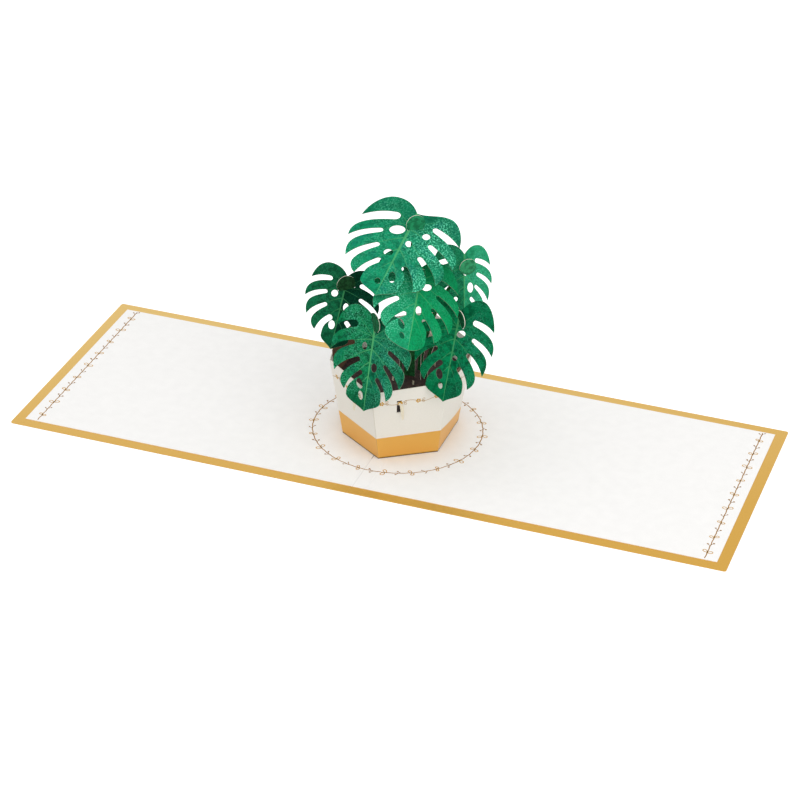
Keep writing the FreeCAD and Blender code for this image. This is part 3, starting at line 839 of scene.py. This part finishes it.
def triangulateHalf(name, side):
    # outline, holes and a hexagonal grid of inner points, joined into triangles that keep the edges
    loops = [flatOutline(name, side, 14)] + holeLoops(name, side) + slitLoops(name, side)
    step = leafOutline["grid"] / leafPoses[name]["length"]
    start, end, out = leafOutline["gridReach"]
    rowStep = step * leafOutline["rowPitch"]
    gx, gy = np.meshgrid(np.arange(start, end, step), np.arange(0.5 * step, out, rowStep))
    gx = gx + step / 2 * (np.arange(gx.shape[0]) % 2)[:, None]
    grid = columns(gx.ravel(), gy.ravel())
    rims = np.vstack(loops)
    gap = np.min(np.hypot(grid[:, 0][:, None] - rims[:, 0][None], grid[:, 1][:, None] - rims[:, 1][None]), 1)
    grid = grid[insideSheet(grid, loops) & (gap > leafOutline["gridClearance"] * step)]
    points = np.vstack(loops + [grid])
    edges, base = [], 0
    for loop in loops:
        first = np.arange(len(loop))
        edges.append(columns(first + base, np.roll(first, -1) + base))
        base += len(loop)
    result = delaunay_2d_cdt([Vector(p) for p in points], np.vstack(edges).tolist(), [], 1, 1e-7)
    flat = np.array([tuple(p) for p in result[0]])
    triangles = np.array(result[2], int)
    return flat, triangles[insideSheet(flat[triangles].mean(1), loops)]


def leafCurl(u, v, name):
    # millimetres off the flat half: outer edges and tip bend down by squares of the distance
    (edge, edgeFrom), (tip, tipFrom) = leafOutline["edgeCurl"], leafOutline["tipCurl"]
    bend = edge * np.clip(v - edgeFrom, 0, 1) ** 2 + tip * np.clip(u - tipFrom, 0, 1) ** 2
    return -leafPoses[name]["length"] * bend


def largestSheet(face, count):
    # the triangles of the largest connected sheet: every corner takes the lowest label of its
    # triangle until nothing changes, and the commonest label stays
    label, before = np.arange(count), None
    while before is None or (label != before).any():
        before = label.copy()
        np.minimum.at(label, face.ravel(), np.repeat(before[face].min(1), 3))
    return face[label[face[:, 0]] == np.bincount(label[face[:, 0]]).argmax()]


def buildLeaf(name):
    # both halves as flat triangles set in space, moved half a thickness to either side, merged
    # where they meet at the fold, and closed by walls along every open edge
    pose = leafPoses[name]
    along = leafAxes(name)[0]
    at, length = np.array(pose["at"]), pose["length"]
    tops, bottoms, faces, shares, base = [], [], [], [], 0
    normals, mean = halfNormals(name)
    for side, normal in zip((-1, 1), normals):
        flat, triangles = triangulateHalf(name, side)
        aside = halfDirection(name, side)
        sheet = at + length * (flat[:, :1] * along + flat[:, 1:] * aside)
        sheet = sheet + leafCurl(flat[:, 0], flat[:, 1], name)[:, None] * normal
        onFold = flat[:, 1] < 1e-6
        off = np.where(onFold[:, None], mean / max(0.2, mean @ normal), normal) * leafOutline["thickness"] / 2
        tops.append(sheet + off)
        bottoms.append(sheet - off)
        run = flat[triangles]
        area = np.cross(run[:, 1] - run[:, 0], run[:, 2] - run[:, 0])
        triangles = np.where((area < 0)[:, None], triangles[:, ::-1], triangles)
        outward = np.cross(along, aside) @ normal > 0
        faces.append((triangles if outward else triangles[:, ::-1]) + base)
        shares.append(columns(flat[:, 0], side * flat[:, 1], 0 * flat[:, 0]))
        base += len(flat)
    top, bottom = np.vstack(tops), np.vstack(bottoms)
    share, face = np.vstack(shares), np.vstack(faces)
    key = np.round(top * 2000).astype(np.int64)
    first, back = np.unique(key, axis=0, return_index=True, return_inverse=True)[1:]
    back = back.ravel()
    top, bottom, share, face = top[first], bottom[first], share[first], back[face]
    face = largestSheet(face, len(top))
    edges = np.vstack([face[:, [0, 1]], face[:, [1, 2]], face[:, [2, 0]]])
    where, counts = np.unique(np.sort(edges, 1), axis=0, return_index=True, return_counts=True)[1:]
    rim = edges[where[counts == 1]]
    count = len(top)
    walls = columns(rim[:, 1], rim[:, 0], rim[:, 0] + count, rim[:, 1] + count)
    indices = np.concatenate([np.zeros(2 * len(face)), np.ones(len(walls))])
    return addMesh("leafCard_" + name, np.vstack([top, bottom]), [face, face[:, ::-1] + count, walls],
                   [leafPrint(name), leafEdge], indices, {"shares": np.vstack([share, share])}, 7.0)


# Veins of a half leaf: start, slope, bend, until and width at the midrib. Each is a curve
# along = start + slope * aside + bend * aside squared, as far aside as "until".
leafVeins = [
    (0.0, -0.95, 0.1, 0.33, 0.006), (0.0, -0.25, 0.3, 0.50, 0.005), (0.03, 0.15, 0.55, 0.54, 0.007),
    (0.16, 0.45, 0.80, 0.45, 0.0075), (0.33, 0.70, 2.40, 0.29, 0.007), (0.52, 1.00, 4.00, 0.17, 0.006),
]

# What all leaf prints share. Each kind of mark: noise scale, detail and roughness, and the two
# noise levels between which it fades in.
leafPrintValues = {
    "brush": (11.0, 6.0, 0.74, 0.47, 0.58),
    "patch": (5.0, 4.0, 0.6, 0.52, 0.70),
    "mottle": (34.0, 4.0, 0.7, 0.49, 0.60), "mottleShade": 0.45,
    "dots": (52.0, 3.0, 0.7, 0.51, 0.57),
    "area": (3.0, 3.0, 0.5, 0.30, 0.55), "outer": (0.03, 0.32),
    "shift": (3.7, 1.3, 0.0),
    "printAndShadeDarkShare": 0.36,
    "crown": (-0.10, 0.22), "tip": (0.55, 0.92),
    "blueColor": (0.006, 0.150, 0.130),
    "fleckGlintColor": (0.115, 0.64, 0.38),
    "veinColor": (0.095, 0.44, 0.16),
    "midrib": (-0.011, 0.015), "veinEdge": (-0.001, 0.003), "sideVeins": 0.75,
    "roughness": 0.6, "specular": 0.02, "relief": (0.00008, 0.35),
}


def veinMask(tree, u, aside):
    # 1 on a vein and 0 off it; each vein narrows to nothing at its outer end
    values = leafPrintValues
    narrow = calc(tree, "MULTIPLY_ADD", calc(tree, "MAXIMUM", u, 0.0), *values["midrib"])
    midrib = ramp(tree, minus(tree, narrow, aside), *values["veinEdge"])
    mask = 0.0
    for start, slope, bend, until, width in leafVeins:
        curve = calc(tree, "MULTIPLY_ADD", aside, calc(tree, "MULTIPLY_ADD", aside, bend, slope), start)
        far = calc(tree, "ABSOLUTE", minus(tree, u, curve))
        far = times(tree, far, 1 / sqrt(1 + (slope + bend * until) ** 2))
        narrow = calc(tree, "MULTIPLY_ADD", aside, -width / until, width)
        one = ramp(tree, minus(tree, narrow, far), *values["veinEdge"])
        mask = calc(tree, "MAXIMUM", one, mask)
    return calc(tree, "MAXIMUM", midrib, times(tree, mask, values["sideVeins"]))


def leafPrint(name):
    # printed leaf: brush-like streaks and bluish patches, fine light flecks drawn as painted glints, pale
    # veins, and painted shade on one half, at the crown and at the tip
    look, values = leafPrints[name], leafPrintValues
    material, tree, shader = newMaterial("leafPrint_" + name)
    vector = addNode(tree, "Attribute", {}, attribute_name="shares").outputs["Vector"]
    u, v, zero = split(tree, vector)
    aside = calc(tree, "ABSOLUTE", v)
    right = ramp(tree, v, -0.006, 0.006)
    veins = veinMask(tree, u, aside)
    shifted = addNode(tree, "Mapping", {"Vector": vector, "Location": values["shift"]}).outputs[0]

    def sided(key):
        left, other = look[key]
        return calc(tree, "MULTIPLY_ADD", right, other - left, left)

    def marks(key, place=vector):
        return ramp(tree, noise(tree, place, *values[key][:3]), *values[key][3:])

    # the halves' base colours differ partly in print and partly by painted shade on the half turned from the
    # light
    base = blend(tree, right, *look["base"])
    # the deep colour serves the printed streaks and mottling and also the painted shade at the crown and tip
    deep = blend(tree, right, *[scaled(color, values["printAndShadeDarkShare"]) for color in look["base"]])
    color = blend(tree, times(tree, marks("brush"), sided("streaks")), base, deep)
    blue = times(tree, marks("patch", shifted), sided("blue"))
    color = blend(tree, blue, color, values["blueColor"])
    color = blend(tree, times(tree, marks("mottle"), values["mottleShade"]), color, deep)
    # painted shade: the crown and the tip darkened towards the deep colour
    crown = times(tree, fallingRamp(tree, u, *values["crown"]), look["crownShade"])
    tip = times(tree, ramp(tree, u, *values["tip"]), look["tipShade"])
    color = blend(tree, calc(tree, "MAXIMUM", crown, tip), color, deep)
    # light flecks: glitter in the print drawn as painted glints, stronger towards the outer edge and on the
    # half that catches the light
    outer = calc(tree, "MULTIPLY_ADD", ramp(tree, aside, *values["outer"]), 0.6, 0.5)
    area = times(tree, marks("area", shifted), outer)
    fleck = times(tree, marks("dots"), times(tree, sided("flecks"), area))
    color = blend(tree, fleck, color, values["fleckGlintColor"])
    color = blend(tree, times(tree, veins, look["veins"]), color, values["veinColor"])
    mottled = noise(tree, vector, *values["mottle"][:3])
    height = calc(tree, "MULTIPLY_ADD", veins, 0.6, times(tree, mottled, 0.4))
    dress(tree, shader, color, height, values)
    return material


for name in leafPoses:
    piece = buildLeaf(name)
    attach(piece, "root")
    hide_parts("leaf_" + name)
print("leaves built")


# Stems: flat strips from the soil, each with a round head that stands up through its leaf


def stemMaterial(name, color):
    # printed green card with dark streaks
    material, tree, shader = newMaterial(name)
    streak = noise(tree, objectPoint(tree), stemValues["streakScale"], 4.0, 0.7)
    mixed = blend(tree, ramp(tree, streak, 0.40, 0.62), scaled(color, 0.5), color)
    dress(tree, shader, mixed, streak, stemValues)
    return material


stemGreen = stemMaterial("stemGreen", stemValues["green"])


def headShape(name, count):
    # an upright disc: two round faces and the cut edge between them, as points and polygons
    level = headLevel(name)
    turn = circleAngles(count)[:, None]
    ring = stemPoses[name]["radius"] * (np.cos(turn) * level + np.sin(turn) * (0, 0, 1))
    off = np.cross(level, (0, 0, 1)) * stemValues["thickness"] / 2
    centre = headCentre(name)
    spin = np.arange(count)
    faces = np.array([spin[::-1], spin + count])
    return np.vstack([centre + ring - off, centre + ring + off]), faces, quadRows(count)


def buildStem(name):
    # the strip's two long edges are cubic curves, its section is a rectangle across them, and it
    # stops just inside its round head
    values = stemValues
    poles, level, inPlane = stemPath(name)
    across = np.array([-level[1], level[0], 0])
    side = level * stemPoses[name]["width"] / 2
    neck = unit(np.cross(across, inPlane)) * values["neck"] / 2
    neck = neck * copysign(1, neck @ level)
    drop = np.array([[0, 0, -values["foot"]]])
    outer, inner = (bezier([poles[0] + sign * side, poles[1] + sign * side, poles[2] + sign * neck,
                            poles[3] + sign * neck], values["steps"]) for sign in (1, -1))
    reach = stemPoses[name]["radius"] - values["headOverlap"]
    shown = np.linalg.norm((outer + inner) / 2 - poles[3], axis=1) > reach
    shown[1:] |= shown[:-1]
    outer, inner = (np.vstack([edge[:1] + drop, edge[shown]]) for edge in (outer, inner))
    half = across * values["thickness"] / 2
    rings = np.stack([outer - half, outer + half, inner + half, inner - half], 1)
    count = len(outer)
    first = np.arange(count - 1)[:, None] * 4 + np.arange(4)[None]
    after = np.arange(count - 1)[:, None] * 4 + (np.arange(4)[None] + 1) % 4
    walls = columns(first, after, after + 4, first + 4).reshape(-1, 4)
    kinds = np.tile([1, 0, 1, 0], count - 1)
    caps = np.array([[3, 2, 1, 0], [4 * count - 4, 4 * count - 3, 4 * count - 2, 4 * count - 1]])
    points = rings.reshape(-1, 3)
    head, faces, edge = headShape(name, values["headSteps"])
    indices = np.concatenate([kinds, [1, 1], [2, 2], np.ones(len(edge))])
    return addMesh("stemCard_" + name, np.vstack([points, head]),
                   [walls, caps, faces + len(points), edge + len(points)],
                   [stemGreen, cutEdge, stemMaterial("head_" + name, stemPoses[name]["color"])],
                   indices, None, 20.0)


for name in leafPoses:
    piece = buildStem(name)
    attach(piece, "root")
    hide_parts("stem_" + name)
print("stems built")


# Stage: pale floor, soft light, camera

stageValues = {
    "floorColor": (0.86, 0.86, 0.86), "floorGlow": 0.45,
    "floorDepth": 0.12, "floorHalf": 9000, "roughness": 0.9, "specular": 0.1,
    "worldStrength": 0.84,
    "keyPower": 5.4, "keyPlace": (-0.20, -0.50, 1.4), "keySize": 2.4,
    "sidePower": 4.2, "sidePlace": (0.8, -0.75, 0.9), "sideSize": 1.2,
    "aim": (0, 0, 0.03),
}


def floorMaterial():
    # a matt pale floor that looks a little lighter to the camera than it lights the card
    material, tree, shader = newMaterial("paleFloor")
    cloud = noise(tree, objectPoint(tree), 6.0, 2.0)
    color = stageValues["floorColor"]
    dress(tree, shader, blend(tree, cloud, scaled(color, 0.99), color), None, stageValues)
    seen = addNode(tree, "LightPath", {}).outputs["Is Camera Ray"]
    feed(tree, shader.inputs["Emission Color"], (1.0, 1.0, 1.0))
    feed(tree, shader.inputs["Emission Strength"], times(tree, seen, stageValues["floorGlow"]))
    return material


half, depth = stageValues["floorHalf"], stageValues["floorDepth"]
corners = [(x * half, y * half, -depth) for x, y in ((-1, -1), (1, -1), (1, 1), (-1, 1))]
floor = addMesh("floor", corners, [[[0, 1, 2, 3]]], [floorMaterial()])

for name in ("key", "side"):
    data = bpy.data.lights.new(name, "AREA")
    data.shape = "DISK"
    data.size = stageValues[name + "Size"]
    data.energy = stageValues[name + "Power"]
    light = bpy.data.objects.new(name, data)
    light.location = stageValues[name + "Place"]
    sight = Vector(stageValues["aim"]) - Vector(stageValues[name + "Place"])
    light.rotation_euler = sight.to_track_quat("-Z", "Y").to_euler()
    bpy.context.scene.collection.objects.link(light)

world = bpy.data.worlds.new("studio")
world.use_nodes = True
backdrop = world.node_tree.nodes["Background"]
backdrop.inputs["Color"].default_value = (1.0, 1.0, 1.0, 1.0)
backdrop.inputs["Strength"].default_value = stageValues["worldStrength"]
bpy.context.scene.world = world

cameraValues = {
    "place": (0.37312, -1.10147, 0.69801),
    "azimuth": 18.746, "elevation": 30.387, "roll": 1.413,
    "lens": 121.894, "sensor": 36.0,
    "clip": (0.05, 50.0),
}


def addCamera():
    # looks from its place by azimuth and elevation, then rolls about the view
    azimuth, elevation, roll = (radians(cameraValues[key]) for key in ("azimuth", "elevation", "roll"))
    forward = Vector((-sin(azimuth) * cos(elevation), cos(azimuth) * cos(elevation), -sin(elevation)))
    level = Vector((cos(azimuth), sin(azimuth), 0))
    up = level.cross(forward)
    right = level * cos(roll) + up * sin(roll)
    up = right.cross(forward)
    data = bpy.data.cameras.new("camera")
    data.lens = cameraValues["lens"]
    data.sensor_width = cameraValues["sensor"]
    data.clip_start, data.clip_end = cameraValues["clip"]
    camera = bpy.data.objects.new("camera", data)
    rotation = Matrix((right, up, -forward)).transposed()
    camera.matrix_world = Matrix.Translation(cameraValues["place"]) @ rotation.to_4x4()
    bpy.context.scene.collection.objects.link(camera)
    bpy.context.scene.camera = camera


addCamera()
bpy.context.scene.view_settings.view_transform = "Standard"
print("stage set")
